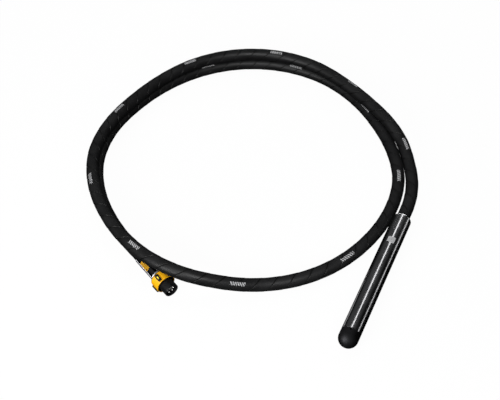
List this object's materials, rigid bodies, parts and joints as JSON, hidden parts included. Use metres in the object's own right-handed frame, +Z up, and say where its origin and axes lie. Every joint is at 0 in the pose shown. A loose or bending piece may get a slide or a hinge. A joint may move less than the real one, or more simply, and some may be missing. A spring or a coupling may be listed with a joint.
{
  "type": "concrete vibrator",
  "caption": "High-frequency internal concrete vibrator: a steel poker head with built-in motor, a coiled protective rubber hose and a round plug with a turning locking ring.",
  "frame": {"origin": "on the floor under the centre of the whole outline, with the hose coil lying flat", "axes": "+Z up, +Y across the coil away from the poker head, +X to the side where the head joins the coil"},
  "size_m": [1.0109, 1.1538, 0.1032],
  "materials": {
    "hose_rubber": "satin black wrapped rubber",
    "cable_rubber": "matt black cable sheath",
    "core_insulation": "brown core insulation",
    "seal_rubber": "matt black seal rubber",
    "head_steel": "dark polished hardened steel",
    "nose_steel": "dark hardened steel, less polished",
    "tube_steel": "polished steel",
    "machined_steel": "turned steel",
    "spring_steel": "blackened spring steel",
    "zinc_steel": "zinc plated steel",
    "bearing_steel": "ground bearing steel",
    "cage_brass": "machined brass",
    "lamination_steel": "stacked laminations",
    "weight_steel": "turned steel",
    "copper_winding": "varnished copper wire",
    "cast_aluminium": "cast and machined aluminium",
    "lead_insulation": "red silicone insulation",
    "sleeve_plastic": "blue insulating sleeve",
    "switch_plastic": "cream phenolic",
    "label_yellow": "printed film",
    "collar_chrome": "bright plated",
    "plug_plastic": "black glass-filled nylon",
    "insert_plastic": "black thermoset",
    "contact_metal": "bright plated brass",
    "ring_yellow": "yellow moulded plastic, satin",
    "grip_black": "black moulded grip",
    "mark_yellow": "yellow inlay"
  },
  "bodies": {
    "coil": {"hose_coil": "hose_rubber", "cable_coil": "cable_rubber", "cable_cores": "core_insulation", "hose_head_bend": "hose_rubber", "cable_head_bend": "cable_rubber", "hose_plug_bend": "hose_rubber", "cable_plug_bend": "cable_rubber"},
    "head": {"head_tube": "head_steel", "nose_cap": "nose_steel", "nose_o_ring": "seal_rubber", "rear_cap": "head_steel", "rear_o_ring": "seal_rubber", "head_hose_nipple": "machined_steel", "hose_head_end": "hose_rubber", "cable_head_end": "cable_rubber", "head_cable_seal": "seal_rubber", "head_cord_clamp": "machined_steel", "head_clamp_screws": "zinc_steel", "head_lead_wires": "core_insulation", "splice_sleeves": "sleeve_plastic", "motor_leads": "lead_insulation", "thermal_switch": "switch_plastic", "stator_core": "lamination_steel", "stator_windings": "copper_winding", "upper_bearing_housing": "cast_aluminium", "middle_bearing_housing": "cast_aluminium", "lower_bearing_housing": "cast_aluminium", "bearing_outer_rings": "bearing_steel", "housing_circlips": "spring_steel", "preload_washer": "spring_steel"},
    "rotor": {"rotor_shaft": "machined_steel", "rotor_core": "lamination_steel", "rotor_end_rings": "cast_aluminium", "eccentric_weight": "weight_steel", "weight_key": "bearing_steel", "bearing_inner_rings": "bearing_steel", "shaft_circlips": "spring_steel"},
    "roller_sets": {"bearing_rollers": "bearing_steel", "roller_cages": "cage_brass"},
    "plug": {"hose_plug_end": "hose_rubber", "cable_plug_end": "cable_rubber", "hose_end_tube": "tube_steel", "rating_label": "label_yellow", "plug_hose_nipple": "machined_steel", "collar_nut": "collar_chrome", "plug_cord_clamp": "insert_plastic", "plug_clamp_screws": "zinc_steel", "plug_lead_wires": "core_insulation", "plug_body": "plug_plastic", "contact_insert": "insert_plastic", "insert_gasket": "seal_rubber", "phase_pins": "contact_metal", "earth_pin": "contact_metal", "ring_retainer": "spring_steel"},
    "ring": {"locking_ring": "ring_yellow", "grip_bars": "grip_black", "index_mark": "mark_yellow"}
  },
  "joints": [
    {"name": "head_lift", "type": "hinge", "parent": "coil", "child": "head", "pos_m": [0.48196, -0.01902, 0.0235], "axis": [-0.9067, 0.4218, 0], "range_deg": [0, 35], "deforming": ["hose_head_bend", "cable_head_bend"]},
    {"name": "rotor_spin", "type": "hinge", "parent": "head", "child": "rotor", "pos_m": [0.34601, -0.34404, 0.0275], "axis": [-0.4218, -0.9067, 0], "continuous": true},
    {"name": "roller_orbit", "type": "hinge", "parent": "head", "child": "roller_sets", "pos_m": [0.34601, -0.34404, 0.0275], "axis": [-0.4218, -0.9067, 0], "continuous": true},
    {"name": "plug_swing", "type": "hinge", "parent": "coil", "child": "plug", "pos_m": [-0.39766, -0.17465, 0.0262], "axis": [0, 0, -1], "range_deg": [0, 25], "deforming": ["hose_plug_bend", "cable_plug_bend"]},
    {"name": "ring_turn", "type": "hinge", "parent": "plug", "child": "ring", "pos_m": [-0.25483, -0.36026, 0.0326], "axis": [0.6252, -0.7804, 0], "range_deg": [0, 45]}
  ],
  "couplings": [
    {"joint": "roller_orbit", "follows": "rotor_spin", "ratio": 0.42}
  ]
}
